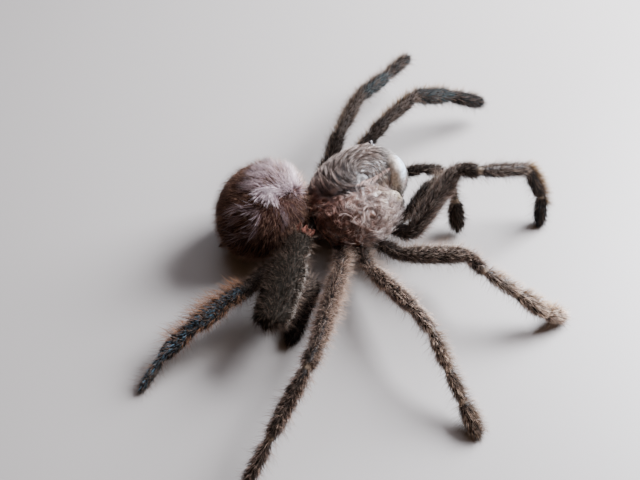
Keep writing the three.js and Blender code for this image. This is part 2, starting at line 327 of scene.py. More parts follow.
def limb_line(spec, spacing=0.3, corner=1.2):
    """The limb's centre line: joint after joint along its heading, its corners rounded by a moving
    mean over the corner length, its thickness brought round to a point past both ends. Returns
    points, tangents, half thickness, width ratio, place in joints and millimetres to a bend."""
    root, joints = spec
    lengths = np.array([j[0] for j in joints])
    steps = np.array([heading(j[1], j[2]) * j[0] for j in joints])
    bends = np.vstack([root, np.array(root) + np.cumsum(steps, 0)])
    distance = np.append(0, np.cumsum(lengths))
    start_end, tip_end = 0.5 * joints[0][3], 0.5 * joints[-1][3]
    s = np.arange(-start_end, distance[-1] + tip_end + spacing / 2, spacing)
    reach = int(round(corner / spacing))
    wide = np.concatenate([s[0] - spacing * np.arange(reach, 0, -1), s,
                           s[-1] + spacing * np.arange(1, reach + 1)])
    before, beyond = np.minimum(wide, 0)[:, None], np.maximum(wide - distance[-1], 0)[:, None]
    line = np.stack([np.interp(wide, distance, bends[:, k]) for k in range(3)], -1)
    line = line + before * unit(steps[0]) + beyond * unit(steps[-1])
    kernel = np.ones(2 * reach + 1) / (2 * reach + 1)
    line = np.stack([np.convolve(line[:, k], kernel, "valid") for k in range(3)], -1)
    number = np.clip(np.searchsorted(distance, s, side="right") - 1, 0, len(joints) - 1)
    share = np.clip((s - distance[number]) / lengths[number], 0, 1)
    thickness = np.array([j[3] for j in joints])[number] * joint_profile(share) - SUNK
    ratio = np.array([j[4] for j in joints], float)[number]
    smooth = np.ones(5) / 5
    thickness = np.convolve(np.pad(thickness, 2, "edge"), smooth, "valid")
    ratio = np.convolve(np.pad(ratio, 2, "edge"), smooth, "valid")
    for end, where in ((start_end, s - s[0]), (tip_end, s[-1] - s)):
        cap = np.clip(where / (2.2 * end), 0, 1)
        thickness = thickness * np.sqrt(np.clip(1 - (1 - cap) ** 2, 0.003, 1))
    tangent = unit(np.gradient(line, axis=0))
    to_bend = np.abs(s[:, None] - distance[None, 1:-1]).min(1) if len(joints) > 1 else s * 0 + 9
    return line, tangent, thickness, ratio, number + share, to_bend


def limb_skin(spec, around=16):
    """Ellipses carried along the centre line, upright and level as the ratio widens them. Returns
    points, triangles, and for each point the tangent, place in joints and distance to a bend."""
    line, tangent, thickness, ratio, joint, to_bend = limb_line(spec)
    side = unit(np.cross(UP, tangent))
    lift = np.cross(tangent, side)
    u = np.linspace(0, 2 * math.pi, around, endpoint=False)
    wide = (thickness * ratio)[:, None, None] * np.cos(u)[None, :, None] * side[:, None]
    tall = thickness[:, None, None] * np.sin(u)[None, :, None] * lift[:, None]
    rings = line[:, None] + wide + tall
    rings[..., 2] = np.maximum(rings[..., 2], 0)
    points, faces, ring = closed_rings(rings)
    return points, faces, np.column_stack([tangent[ring], joint[ring], to_bend[ring]])


def merged(*parts):
    """Several closed surfaces as one mesh."""
    start, points, faces = 0, [], []
    for p, f in parts:
        points.append(p)
        faces.append(f + start)
        start += len(p)
    return np.vstack(points), np.vstack(faces)


def remeshed(name, points, faces, voxel_mm, relax=6):
    """One smooth skin round overlapping lumps, by a voxel remesh and a relaxing pass."""
    mesh = bpy.data.meshes.new(name)
    mesh.from_pydata((points * MM).tolist(), [], faces.tolist())
    rough = bpy.data.objects.new(name, mesh)
    bpy.context.scene.collection.objects.link(rough)
    remesh = rough.modifiers.new("remesh", "REMESH")
    remesh.mode = "VOXEL"
    remesh.voxel_size = voxel_mm * MM
    smooth = rough.modifiers.new("smooth", "SMOOTH")
    smooth.factor = 0.5
    smooth.iterations = relax
    rough.modifiers.new("triangulate", "TRIANGULATE")
    evaluated = rough.evaluated_get(bpy.context.evaluated_depsgraph_get()).to_mesh()
    out = np.empty(len(evaluated.vertices) * 3)
    evaluated.vertices.foreach_get("co", out)
    tris = np.empty(len(evaluated.polygons) * 3, dtype=np.int32)
    evaluated.polygons.foreach_get("vertices", tris)
    bpy.data.objects.remove(rough)
    out = out.reshape(-1, 3) / MM
    tris = tris.reshape(-1, 3)
    return out, facing_out(out, tris)


def point_normals(points, faces):
    """Smooth normals: at each point the sum of the cross products of its triangles' edges."""
    a, b, c = (points[faces[:, k]] for k in range(3))
    across = np.cross(b - a, c - a)
    normals = np.zeros_like(points)
    for k in range(3):
        np.add.at(normals, faces[:, k], across)
    return unit(normals)


def folds(points, size_mm, seed, waves=14):
    """Wrinkle height from -1 to 1: a mean of plane waves of random heading about the given size,
    each 1 - 2 |sin|, so the folds have narrow crests."""
    local = np.random.default_rng(seed)
    ways = unit(local.normal(size=(waves, 3)))
    ways = ways * math.pi / (size_mm * local.uniform(0.7, 1.6, (waves, 1)))
    return (1 - 2 * np.abs(np.sin(points @ ways.T + local.uniform(0, 6.28, waves)))).mean(1) * 2.2


# Hair. A strand starts this far under its skin and stays this far above the floor
ROOT_DEPTH, FLOOR_GAP = 0.15, 0.08


def scatter(points, faces, count, weight=None, carried=None):
    """Places picked at random over a surface, by area times weight. Returns roots, smooth normals
    and what the points carry, each mixed from the corners of the triangle that was hit."""
    a, b, c = (points[faces[:, k]] for k in range(3))
    chance = np.linalg.norm(np.cross(b - a, c - a), axis=1)
    if weight is not None:
        chance = chance * weight[faces].mean(1)
    pick = rng.choice(len(faces), count, p=chance / chance.sum())
    u, v = rng.random((2, count, 1))
    over = (u + v) > 1
    u, v = np.where(over, 1 - u, u), np.where(over, 1 - v, v)
    hit = faces[pick]

    def mix(values):
        """Values at the hits: those of the corners times 1 - u - v, u and v."""
        return (1 - u - v) * values[hit[:, 0]] + u * values[hit[:, 1]] + v * values[hit[:, 2]]

    extra = None if carried is None else mix(carried)
    return mix(points), unit(mix(point_normals(points, faces))), extra


def tufts(roots, share):
    """Groups the roots round some of them: returns each root's group and the way to its middle."""
    count = max(8, int(len(roots) / share))
    seeds = roots[rng.choice(len(roots), count, replace=False)]
    owner = np.empty(len(roots), dtype=int)
    for start in range(0, len(roots), 2000):
        gap = ((roots[start:start + 2000, None] - seeds[None]) ** 2).sum(-1)
        owner[start:start + 2000] = gap.argmin(1)
    return owner, seeds[owner] - roots


def along_surface(direction, normal):
    """The part of a direction that lies along the surface."""
    return unit(direction - (direction * normal).sum(-1, keepdims=True) * normal)


def per(value, n):
    """A number, or a number for each strand, as a column."""
    return np.broadcast_to(np.asarray(value, float), n)[:, None]


def strands(roots, normals, comb, length, radius, lean, bend=0.2, curl=0.0, pull=None, clump=0.5,
            steps=2):
    """A strand leaves its root at the lean angle in degrees from the normal towards the comb, then
    turns sideways along the surface by the curl angle in radians, an arc of its own length. It sinks
    to the surface with the square of its length and is drawn to the middle of its tuft; its
    three-sided rings shrink to a point. Returns points as strand by place, triangles and places."""
    n = len(roots)
    length, radius, curl = per(length, n), per(radius, n), per(curl, n)
    lean = np.radians(per(lean, n))
    out = unit(normals * np.cos(lean) + comb * np.sin(lean))
    across = unit(np.cross(normals, out))
    third = np.cross(out, across)
    places = np.linspace(0, 1, steps + 1)
    centres = []
    for t in places:
        ahead = t * np.sinc(curl * t / math.pi)
        aside = t * np.sinc(curl * t / 2 / math.pi) * np.sin(curl * t / 2)
        centre = roots + length * (ahead * out + aside * across) - ROOT_DEPTH * normals * (t == 0)
        centre = centre + bend * length * t * t * (comb - 0.7 * normals)
        if pull is not None:
            centre = centre + clump * t ** 1.2 * pull
        centre[:, 2] = np.maximum(centre[:, 2], FLOOR_GAP)
        centres.append(centre)
    corners = (np.arange(3) * 2 * math.pi / 3)[None, :, None]
    rings = [
        centre[:, None] + radius[:, None] * (1 - 0.6 * t) * (
            np.cos(corners) * across[:, None] + np.sin(corners) * third[:, None])
        for t, centre in zip(places[:-1], centres[:-1])
    ]
    points = np.concatenate([*rings, centres[-1][:, None]], 1)
    one = [(0, 2, 1)]
    for ring in range(steps - 1):
        for k in range(3):
            p, q = 3 * ring + k, 3 * ring + (k + 1) % 3
            one += [(p, q, q + 3), (p, q + 3, p + 3)]
    for k in range(3):
        one.append((3 * steps - 3 + k, 3 * steps - 3 + (k + 1) % 3, 3 * steps))
    faces = (np.arange(n)[:, None, None] * points.shape[1] + np.array(one)[None]).reshape(-1, 3)
    return points, faces, np.append(np.repeat(places[:-1], 3), 1.0)


def between(low, high, roots):
    """A random number between low and high for each root, all equally likely."""
    return rng.uniform(low, high, len(roots))


def layer(shape, palettes, weights, chance, light=1.0):
    """One layer of a coat, with its colours, made lighter or darker by the light value."""
    points, faces, along = shape
    colours = shades(palettes, weights, along, chance) * np.reshape(light, (-1, 1, 1))
    return points.reshape(-1, 3), faces, colours.reshape(-1, 3)


def coat(name, layers, material, slot):
    """Joins layers of strands into one piece."""
    points, faces = merged(*[(p, f) for p, f, _ in layers])
    return mesh_piece(name, points, faces, material, np.vstack([c for *_, c in layers]), slot=slot)


def scaled(count):
    """Number of strands: the count as given."""
    return int(count * (1))


def line_gap(points, start, end):
    """Distance to a line between two points, and the share of it where the nearest place is."""
    start, end = np.array(start), np.array(end)
    way = end - start
    t = np.clip(((points - start) @ way) / (way @ way), 0, 1)
    return np.linalg.norm(points - start - t[:, None] * way, axis=1), t


# Abdomen: dark velvet, with pale hair fanning out from two whorls on its upper near side
WHORL_FRONT = (8.4, -1.4, 14.9)
WHORL_SIDE = (0.7, -6.2, 16.0)
STREAK, STREAK_END = (3.2, -3.9, 17.1), (5.0, -7.2, 12.8)
PALE_LINES = (
    (WHORL_FRONT, (0.6, 1.4, 18.2)), (WHORL_FRONT, (4.4, 5.9, 16.4)),
    (WHORL_FRONT, (2.2, 3.6, 17.8)), (WHORL_FRONT, (1.9, -2.9, 17.8)),
    (WHORL_FRONT, (8.0, 5.6, 15.4)), (WHORL_FRONT, (-0.9, -1.0, 17.9)),
    (WHORL_SIDE, (-4.7, -4.0, 15.5)), (WHORL_SIDE, (-5.3, -5.9, 13.6)),
    (WHORL_SIDE, (-4.5, -8.3, 10.6)), (WHORL_SIDE, (-1.6, -8.8, 12.2)),
    (STREAK, STREAK_END),
)
# A dark gap parts the pale hair of the two whorls
DARK_GAP = ((3.4, -5.6, 15.8), (0.6, -8.2, 13.8))


def pale_hair(points):
    """How pale the hair is, from 0 to 1: the largest of a bell round each line along which it fans
    out, wider and fainter towards the line's end, less a bell round the dark gap."""
    out = np.zeros(len(points))
    for start, end in PALE_LINES:
        gap, t = line_gap(points, start, end)
        strength, width = (1.0, 1.0) if start is WHORL_FRONT else (0.4, 0.55)
        bell = np.exp(-(gap / (0.5 + 0.55 * t) / width) ** 2)
        out = np.maximum(out, strength * bell * (1 - 0.35 * t))
    gap = line_gap(points, *DARK_GAP)[0]
    return out * (1 - 0.85 * np.exp(-(gap / 1.5) ** 2))


def abdomen_flow(roots, normals):
    """Hair runs away from the front whorl, away from the side whorl on its rear near half, down
    the streak, and to the rear elsewhere, each strand a little off by chance."""
    front, side = roots - np.array(WHORL_FRONT), roots - np.array(WHORL_SIDE)
    near_front = np.exp(-(front ** 2).sum(-1, keepdims=True) / 8.0 ** 2)
    near_side = np.exp(-(side ** 2).sum(-1, keepdims=True) / 3.4 ** 2)
    near_side = near_side * smoothstep(-0.3, 1.5, -side[:, :1] - side[:, 1:2])
    near_streak = np.exp(-line_gap(roots, STREAK, STREAK_END)[0][:, None] ** 2 / 1.4 ** 2)
    way = (1.2 * near_front * unit(front) + 1.6 * near_side * unit(side)
           + near_streak * np.array([0.5, -1.2, -1.4]) + np.array([-0.45, -0.05, -0.12]))
    return along_surface(way + 0.22 * rng.normal(size=way.shape), normals)


def make_abdomen():
    """A round skin, browner above and darker below as painted shade, and four layers of hair: velvet,
    pale fans, wisps and erect.
    """
    points, faces = lump(ABDOMEN, 60, 80)
    height = points[:, 2] / 18
    # Painted shade: the skin darkens from its upper part towards the bottom
    tint = blend(smoothstep(0.35, 0.9, height), "#0f0908", "#3a231d")
    mesh_piece("abdomen_skin", points, faces, VELVET_CUTICLE, tint,
               replaces=["abdomen"], slot="abdomen_hair")

    def mood(roots, pale_share):
        """Weights of black, more of it low at the front and at the waist as painted shade, of brown
        and of lilac.
        """
        pale = pale_hair(roots)
        # Painted shade: black gains weight on the lower front and near side, and towards the waist
        low = smoothstep(12.5, 8.0, roots[:, 2]) * smoothstep(-8, -2, roots[:, 0] - roots[:, 1] * 0.6)
        waist_side = smoothstep(4.5, 8.0, roots[:, 0]) * (1 - pale)
        whorl = np.exp(-((roots - np.array(WHORL_FRONT)) ** 2).sum(-1) / 6.0 ** 2)
        lilac = (0.5 + 2.5 * whorl) * pale_share * (pale + 0.3 * whorl)
        return [1.0 + 5 * low + 1.5 * waist_side, 2.0, lilac]

    palettes = (ABDOMEN_BLACK, ABDOMEN_BROWN, LILAC)
    roots, normals, _ = scatter(points, faces, scaled(9000))
    owner, pull = tufts(roots, 6)
    chance = 0.5 * rng.random(owner.max() + 1)[owner] + 0.5 * rng.random(len(roots))
    layers = [layer(strands(
        roots, normals, abdomen_flow(roots, normals), between(1.0, 1.6, roots), 0.053,
        between(40, 62, roots), pull=pull, clump=0.2), palettes, mood(roots, 0.5), chance, 1.3)]
    # Pale hair of the fans, thin and apart
    roots, normals, _ = scatter(points, faces, scaled(4800), pale_hair(points) ** 1.3 + 0.01)
    owner, pull = tufts(roots, 4)
    group = rng.random(owner.max() + 1)[owner]
    layers.append(layer(strands(
        roots, normals, abdomen_flow(roots, normals), between(1.4, 2.9, roots), 0.03,
        between(36, 66, roots), bend=0.12, pull=pull, clump=0.45),
        palettes, mood(roots, 6.0), -0.1 + 0.4 * group + 0.9 * rng.random(len(roots)) ** 1.5))
    # Long wisps of the lower fans
    near_side = np.where(points[:, 1] < -2.4, pale_hair(points), 0)
    roots, normals, _ = scatter(points, faces, scaled(420), near_side ** 3 + 1e-5)
    owner, pull = tufts(roots, 5)
    group = rng.random((owner.max() + 1, 2))[owner]
    layers.append(layer(strands(
        roots, normals, abdomen_flow(roots, normals), between(2.4, 4.6, roots), 0.04,
        between(60, 76, roots), bend=0.12, curl=(group[:, 0] - 0.5) * 1.2, pull=pull,
        clump=0.7, steps=3), (LILAC,), [1.0], 0.1 + 0.8 * group[:, 1]))
    # Thin erect hair all over, which roughens the outline
    roots, normals, _ = scatter(points, faces, scaled(6200))
    layers.append(layer(strands(
        roots, normals, abdomen_flow(roots, normals), between(1.5, 2.9, roots), 0.027,
        between(10, 50, roots), bend=0.1, steps=1),
        (ABDOMEN_BROWN, RUST, LILAC), [1.6, 0.9, 3 * pale_hair(roots)], rng.random(len(roots)), 1.2))
    coat("abdomen_coat", layers, VELVET_HAIR, "abdomen_hair")


# Cephalothorax: combed arcs on the far lobe, damp curls on the near one, a dark brown waist
SWIRL_MIDDLE = np.array([21.5, 1.5, 15.3])
# The crease between the lobes, seen from above
SEAM_X = (11, 13.5, 16.4, 19.3, 21.5, 24.3, 27.1, 30)
SEAM_Y = (0.2, -1.5, -2.8, -3.7, -3.4, -1.0, 1.4, 4.0)
# Bumps that the curls run round, then the bare patch, and the radius that each keeps thin
BARE_PATCH = (28.0, -2.8, 11.2)
BUMPS = np.array([
    (26.2, -6.3, 13.1), (15.1, -10.2, 10.4), (13.5, -8.2, 10.9), (23.4, -4.6, 14.4),
    (19.6, -6.0, 14.6), (17.6, -9.4, 12.6), (22.8, -9.2, 12.4), BARE_PATCH])
BUMP_RADII = np.array([1.15] * 7 + [2.3])
# Longer hair stands in the front of the crease: each stretch's ends and its hairs
CREASE_STRETCHES = (
    ((30.4, 4.2, 11.9), (26.2, 0.6, 13.4), 120),
    ((26.2, 0.6, 13.4), (21.6, -1.4, 13.9), 60),
)


def seam(p):
    """How far a point lies to the left of the crease between the lobes, in millimetres: its y less
    the crease's y at its x, straight from knot to knot."""
    return p[:, 1] - np.interp(p[:, 0], SEAM_X, SEAM_Y)


def crease(p):
    """Painted shade in the narrow valley between the lobes, how dark it is: a bell of the distance
    from the seam, which fades out at the rear."""
    return 0.88 * np.exp(-(seam(p) / 0.8) ** 2) * smoothstep(12, 15, p[:, 0])


def waist(p):
    """One on the dark brown rear of the near lobe, up to 0.8 in a bell along the crease that ends
    at x = 24, and zero elsewhere."""
    slant = p[:, 0] + 0.25 * np.minimum(p[:, 1], 0)
    rear = smoothstep(19.0, 14.5, slant) * smoothstep(2.5, 0.0, seam(p))
    valley = np.exp(-(seam(p) / 1.0) ** 2) * smoothstep(24.0, 20.0, p[:, 0])
    return np.maximum(rear, 0.8 * valley)


def near_spot(points, spot, radius):
    """One round a spot and zero beyond: e to the minus fourth power of distance over radius."""
    return np.exp(-(np.linalg.norm(points - np.array(spot), axis=1) / radius) ** 4)


def cephalothorax_surface():
    """The lobes, the sternum and the hip joints in one skin, wrinkled along its normals, most on
    the upper near lobe. Returns points, triangles, wrinkle height, and how far each point belongs
    to the near lobe and to the upper side, from 0 to 1."""
    parts = [lump(s, 30, 40) for s in (CARAPACE_LEFT, CARAPACE_RIGHT, CARAPACE_REAR, STERNUM)]
    for start, end in COXAE:
        way = np.array(end) - np.array(start)
        length = np.linalg.norm(way)
        bearing = math.degrees(math.atan2(way[1], way[0]))
        rise = math.degrees(math.asin(way[2] / length))
        parts.append(limb_skin((start, ((length, bearing, rise, COXA_RADIUS, 1),)))[:2])
    points, faces = remeshed("rough_cephalothorax", *merged(*parts), voxel_mm=0.36)
    normals = point_normals(points, faces)
    near = smoothstep(0.4, -0.4, seam(points))
    high = smoothstep(3.0, 7.0, points[:, 2])
    wrinkle = folds(points, 1.5, 5)
    points = points + normals * (0.06 + 0.28 * near * high)[:, None] * wrinkle[:, None]
    points[:, 2] = np.maximum(points[:, 2], 0)
    return points, faces, wrinkle, near, high


def make_cephalothorax():
    """The skin, with painted shade in its wrinkles, in the valley between the lobes and below, and the
    three coats on it.
    """
    points, faces, wrinkle, near, high = cephalothorax_surface()
    # Painted shade in the wrinkle valleys and painted light on their crests
    tint = blend(near, "#4a3c35", "#957466") * (0.75 + 0.35 * wrinkle)[:, None].clip(0.3, 1.3)
    tint = zone_tint(tint, smoothstep(23, 27, points[:, 0]) * near, "#8d7963")
    tint = zone_tint(tint, near_spot(points, BARE_PATCH, 2.4), "#8f7d69")
    tint = zone_tint(tint, waist(points), "#52372e")
    # Painted shade: darker below, under the body and round the hips, and in the valley between the
    # lobes
    tint = tint * ((0.25 + 0.75 * high) * (1 - crease(points)))[:, None]
    mesh_piece("cephalothorax_skin", points, faces, BODY_CUTICLE, tint,
               replaces=["cephalothorax"], slot="carapace_hair")
    make_left_lobe_coat(points, faces, near, high)
    make_right_lobe_coat(points, faces, near, high)
    make_crease_hair()


def make_left_lobe_coat(points, faces, near, high):
    """Hair combed in arcs, at right angles to the way from the whorl's middle and a little to the
    front left, light and dark in rings by a sine of the distance from that middle."""
    def swirl(roots, normals):
        """Round the whorl's middle, and close to it more to the front left, by a bell."""
        radial = along_surface(roots - SWIRL_MIDDLE, normals)
        middle = np.exp(-((roots - SWIRL_MIDDLE) ** 2).sum(-1, keepdims=True) / 4.0)
        return along_surface(np.cross(radial, normals) + (0.35 + 2 * middle) * heading(35, 0), normals)

    off_eyes = 1 - near_spot(points, EYE_MOUND[0], 2.4)
    roots, normals, _ = scatter(points, faces, scaled(6600), (0.15 + high) * (1 - near) * off_eyes)
    owner, pull = tufts(roots, 11)
    group = rng.random((owner.max() + 1, 3))[owner]
    distance = np.linalg.norm(roots - SWIRL_MIDDLE, axis=1)
    stripes = 0.5 + 0.5 * np.sin(distance * 4.2 + 1.5 * np.sin(roots[:, 0] * 0.5))
    silver = 0.1 + smoothstep(25.5, 30, roots[:, 0]) * 3 + 0.5 * (group[:, 0] > 0.8)
    by_seam = smoothstep(2.0, 0.3, seam(roots)) * smoothstep(27, 23, roots[:, 0])
    brown = 0.3 + 3.0 * waist(roots) + 2.0 * smoothstep(15, 11.5, roots[:, 0]) + 1.5 * by_seam
    light = np.interp(roots[:, 0] + 0.3 * roots[:, 1], (14, 20.5, 27.5), (1.0, 0.36, 0.75))
    # The hair's light value carries painted shade in the valley between the lobes
    layers = [layer(strands(
        roots, normals, swirl(roots, normals), between(1.6, 3.0, roots), 0.04,
        between(78, 86, roots), bend=0.05, curl=0.25 + 0.3 * (group[:, 1] - 0.5), pull=pull,
        clump=0.8, steps=3), (CARAPACE_TAN, CARAPACE_SILVER, CARAPACE_BROWN), [1.0, silver, brown],
        -0.3 + 1.1 * stripes + 0.5 * group[:, 2], light * (1 - crease(roots)))]
    coat("carapace_left_coat", layers, MATTED_HAIR, "carapace_hair")


def make_right_lobe_coat(points, faces, near, high):
    """Short brown hair, and long pale curls over it. Both run round the nearest bump, at right
    angles to the way from it, each tuft turned by chance, and thin out on the bumps by a bell."""
    gaps = np.linalg.norm(points[:, None] - BUMPS, axis=2)
    covered = np.prod(1 - 0.95 * np.exp(-(gaps / BUMP_RADII) ** 2), axis=1)

    def curls(roots, normals, group):
        """Round the nearest bump, plus three quarters of a level way of the tuft's own."""
        gap = roots[:, None] - BUMPS
        away = gap[np.arange(len(roots)), (gap ** 2).sum(-1).argmin(1)]
        turn = 2 * math.pi * group[:, :1]
        chance = np.hstack([np.cos(turn), np.sin(turn), 0 * turn])
        return along_surface(unit(np.cross(normals, away)) + 0.75 * chance, normals)

    palettes = (CARAPACE_BROWN, CURL, CARAPACE_TAN)
    roots, normals, _ = scatter(points, faces, scaled(3400), covered * (0.2 + high) * near)
    owner, pull = tufts(roots, 10)
    group = rng.random((owner.max() + 1, 3))[owner]
    # The hair's light value carries painted shade in the valley between the lobes
    layers = [layer(strands(
        roots, normals, curls(roots, normals, group), between(0.7, 1.5, roots), 0.05,
        between(72, 84, roots), curl=2.0 * (group[:, 1] - 0.5), pull=pull, clump=0.85),
        palettes, [1.4 + 4 * waist(roots), 0.2, 0.6 + smoothstep(23, 27, roots[:, 0])], group[:, 2],
        (1.0 + 0.9 * waist(roots)) * (1 - crease(roots)))]
    pale = smoothstep(-0.8, -2.4, seam(points)) * high ** 0.8 * near * (1 - 0.97 * waist(points))
    roots, normals, _ = scatter(points, faces, scaled(3300), covered * pale)
    owner, pull = tufts(roots, 9)
    group = rng.random((owner.max() + 1, 3))[owner]
    layers.append(layer(strands(
        roots, normals, curls(roots, normals, group), between(2.0, 4.0, roots), 0.031,
        between(70, 84, roots), bend=0.06, curl=0.9 + 2.2 * (group[:, 1] - 0.5), pull=pull,
        clump=0.7, steps=3), palettes, [0.8, 1.6, 0.4],
        -0.35 + 1.2 * group[:, 2] ** 1.5 + 0.35 * rng.random(len(roots)),
        0.92 - 0.3 * smoothstep(25, 28, roots[:, 0])))
    coat("carapace_right_coat", layers, MATTED_HAIR, "carapace_hair")


def make_crease_hair():
    """Hair rooted at random along two straight stretches, a little off them, lying to the rear."""
    roots = np.vstack([
        np.array(start) + (np.array(end) - np.array(start)) * rng.random((scaled(count), 1))
        for start, end, count in CREASE_STRETCHES])
    roots = roots + rng.normal(size=roots.shape) * 0.14
    normals = unit(np.array([-0.1, -0.35, 1.0]) + 0 * roots)
    comb = along_surface(np.array([-0.8, -0.52, 0]) + rng.normal(size=roots.shape) * 0.12, normals)
    layers = [layer(strands(
        roots, normals, comb, between(1.0, 2.0, roots), 0.05, 74, curl=0.6, steps=3),
        (ROSE, CURL), [1.0, 0.8], rng.random(len(roots)))]
    coat("crease_hair", layers, MATTED_HAIR, "carapace_hair")


# Eyes: on the mound, four pairs of way out to the side, way up, and size
EYES = (
    (0.9, 0.75, 0.5), (-0.9, 0.75, 0.5), (0.35, 1.1, 0.46), (-0.35, 1.1, 0.46),
    (1.15, 0.2, 0.38), (-1.15, 0.2, 0.38), (1.3, 0.6, 0.34), (-1.3, 0.6, 0.34),
)


def make_eyes():
    """A round mound, with eight small balls half sunk in it."""
    base = np.array(EYE_MOUND[0])
    parts = [lump((EYE_MOUND[0], EYE_MOUND[1], 0), 18, 24)]
    for away, up, size in EYES:
        way = unit(np.array([0.55 * abs(away) - 0.3, away, up * 1.2]))
        parts.append(lump((base + way * 1.12, (size, size, size), 0), 12, 16, 0))
    mesh_piece("eyes", *merged(*parts), HORN, linear("#2a2628"), slot="fang_horn")


# Jaws: the left one pale and bare above, with a painted bluish-white highlight on its front edge, and
# a dark red fold
def make_chelicera_left():
    """A wrinkled lump, bare where it is pale, its hair combed down and to the front."""
    points, faces = lump(CHELICERA_LEFT, 40, 48)
    points = points + point_normals(points, faces) * 0.1 * folds(points, 1.8, 9)[:, None]
    x, y, z = points.T
    pale = smoothstep(5.5, 9.5, z - 3.0 * smoothstep(32.6, 33.8, x))
    # Painted highlight: a bluish-white crescent on the front edge, where the window light shines on it
    painted_highlight = smoothstep(31.6, 33.0, x + 0.12 * y) * smoothstep(9.0, 11.5, z) * smoothstep(8.0, 5.0, y)
    tint = blend(pale * (0.3 + 0.7 * smoothstep(8.0, 5.0, y)), "#3a2c24", "#beb1a5")
    tint = zone_tint(tint, painted_highlight, "#b9c9d8")
    fold = np.exp(-(line_gap(points, (33.6, 2.4, 9.4), (33.4, 1.4, 8.4))[0] / 0.9) ** 2)
    tint = zone_tint(tint, fold, "#4a1f16")
    mesh_piece("chelicera_left_skin", points, faces, MEMBRANE, tint,
               replaces=["chelicera_left"], slot="chelicera_cuticle")
    hairy = 1.05 - smoothstep(9.5, 12.0, z) * smoothstep(8.0, 6.0, y)
    roots, normals, _ = scatter(points, faces, scaled(1900), hairy)
    comb = along_surface(np.array([0.6, 0.2, -0.8]) + 0 * normals, normals)
    white = smoothstep(7.5, 12.0, roots[:, 2])
    layers = [layer(strands(
        roots, normals, comb, between(0.7, 1.6, roots), 0.035, between(60, 80, roots)),
        (OLIVE, CARAPACE_SILVER), [1.05 - white, white + 0.05], rng.random(len(roots)))]
    coat("chelicera_left_coat", layers, MATTED_HAIR, "carapace_hair")


def make_chelicera_right():
    """A wrinkled lump, tan above and black below, with short black hair."""
    points, faces = lump(CHELICERA_RIGHT, 40, 48)
    points = points + point_normals(points, faces) * 0.1 * folds(points, 1.6, 12)[:, None]
    tint = blend(smoothstep(6.5, 9.5, points[:, 2]), "#1a1613", "#8f7f69")
    mesh_piece("chelicera_right_skin", points, faces, MEMBRANE, tint,
               replaces=["chelicera_right"], slot="chelicera_cuticle")
    hairy = 1.2 - smoothstep(7, 10, points[:, 2])
    roots, normals, _ = scatter(points, faces, scaled(1100), hairy)
    comb = along_surface(np.array([0.6, -0.2, -0.8]) + 0 * normals, normals)
    layers = [layer(strands(
        roots, normals, comb, between(0.7, 1.4, roots), 0.045, between(50, 70, roots)),
        (BLACK, OLIVE), [1.0, 0.7], rng.random(len(roots)))]
    coat("chelicera_right_coat", layers, LIMB_HAIR, "carapace_hair")


def make_fangs():
    """Each is a circle carried along a quarter of an ellipse, down and to the rear, and drawn in
    with the power 1.3 of the place along it, from brown at the root to black at the point."""
    for side, root in (("left", (33.0, 3.8, 3.3)), ("right", (30.4, -2.2, 2.7))):
        angle = np.linspace(0, math.pi / 2, 14)[:, None]
        line = np.array(root) + np.hstack([
            -2.8 * (1 - np.cos(angle)), 0 * angle, -1.95 * np.sin(angle)])
        tangent = unit(np.gradient(line, axis=0))
        across = np.tile([0.0, 1.0, 0.0], (len(line), 1))
        lift = np.cross(tangent, across)
        along = np.linspace(0, 1, len(line))
        radius = 0.7 * (1 - 0.85 * along ** 1.3)
        u = np.linspace(0, 2 * math.pi, 12, endpoint=False)[None, :, None]
        rings = line[:, None] + radius[:, None, None] * (
            np.cos(u) * across[:, None] + np.sin(u) * lift[:, None])
        points, faces, ring = closed_rings(rings)
        tint = blend(1 - along[ring], "#0a0707", "#4a1c12")
        mesh_piece(f"fang_{side}_horn", points, faces, HORN, tint,
                   replaces=[f"fang_{side}"], slot="fang_horn")


def make_waist_and_spinnerets():
    """A bare wrinkled waist, and two spinnerets of two joints with short hair."""
    points, faces, _ = limb_skin(((8.4, -0.8, 4.2), ((5.2, 0, 0, 2.0, 1),)))
    mesh_piece("pedicel_skin", points, faces, MEMBRANE,
               blend(0.5 + 0.5 * folds(points, 1.0, 3).clip(-1, 1), "#1c0f0c", "#4a2a20"),
               replaces=["pedicel"], slot="abdomen_hair")
    for side, root, sign in (("left", (-4.9, 1.6, 3.2), 1), ("right", (-5.2, -1.6, 3.2), -1)):
        spec = (root, ((1.5, 168 * sign, -12, 0.95, 1), (1.3, 168 * sign, -12, 0.8, 1)))
        points, faces, data = limb_skin(spec, 14)
        mesh_piece(f"spinneret_{side}_skin", points, faces, LIMB_CUTICLE, linear("#241612"),
                   replaces=[f"spinneret_{side}"], slot="abdomen_hair")
        roots, normals, at = scatter(points, faces, scaled(300), carried=data)
        layers = [layer(strands(
            roots, normals, along_surface(at[:, :3], normals), between(0.5, 1.0, roots), 0.04, 60),
            (ABDOMEN_BROWN,), [1.0], rng.random(len(roots)))]
        coat(f"spinneret_{side}_coat", layers, VELVET_HAIR, "abdomen_hair")


# Limbs: a short dense undercoat combed to the tip, lighter guard hair, erect bristles.
# Strands to a square millimetre of the limb
UNDERCOAT, GUARD_HAIR, BRISTLES = 11.5, 2.2, 3.6
# The way that a limb's black or coloured side faces, down where none is given
SOLE_WAY = {
    "leg_left_1": (0.35, -0.85, 0.25),
    "leg_left_2": (0.65, -0.7, 0.2),
    "leg_left_3": (0.5, -0.8, 0.25),
    "leg_right_1": (-0.8, 0.1, -0.5),
}
